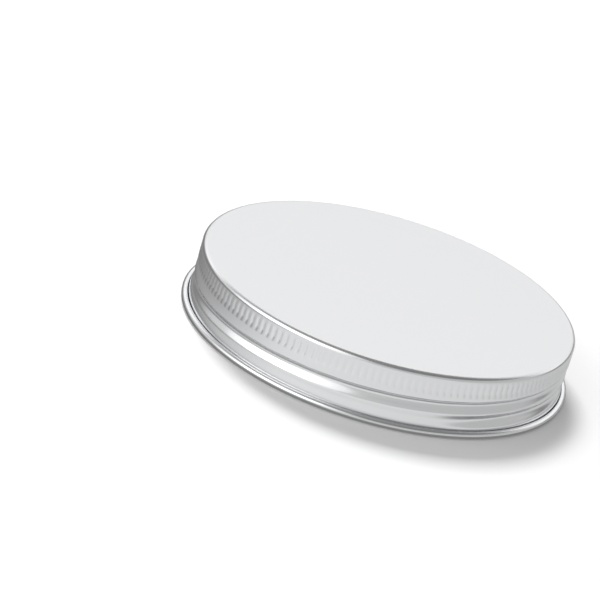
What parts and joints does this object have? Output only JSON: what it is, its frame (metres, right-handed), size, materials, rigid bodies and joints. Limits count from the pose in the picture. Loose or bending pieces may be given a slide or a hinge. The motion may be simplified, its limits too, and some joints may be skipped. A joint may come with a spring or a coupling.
{
  "type": "can lid",
  "caption": "Shallow round screw lid formed from aluminium sheet, with a fluted grip band, a rolled thread and an outward curled rim.",
  "frame": {"origin": "centre of the plane that the curled rim stands on, at the bottom of the bounding box", "axes": "+Z points out of the flat top along the lid's axis; X and Y lie in the rim's plane, and the two thread starts are half a turn apart about Z"},
  "size_m": [0.086, 0.086, 0.0135],
  "materials": {
    "aluminium_sheet": "satin drawn sheet, clear lacquered"
  },
  "bodies": {
    "root": {"can_lid": "aluminium_sheet"}
  },
  "joints": []
}
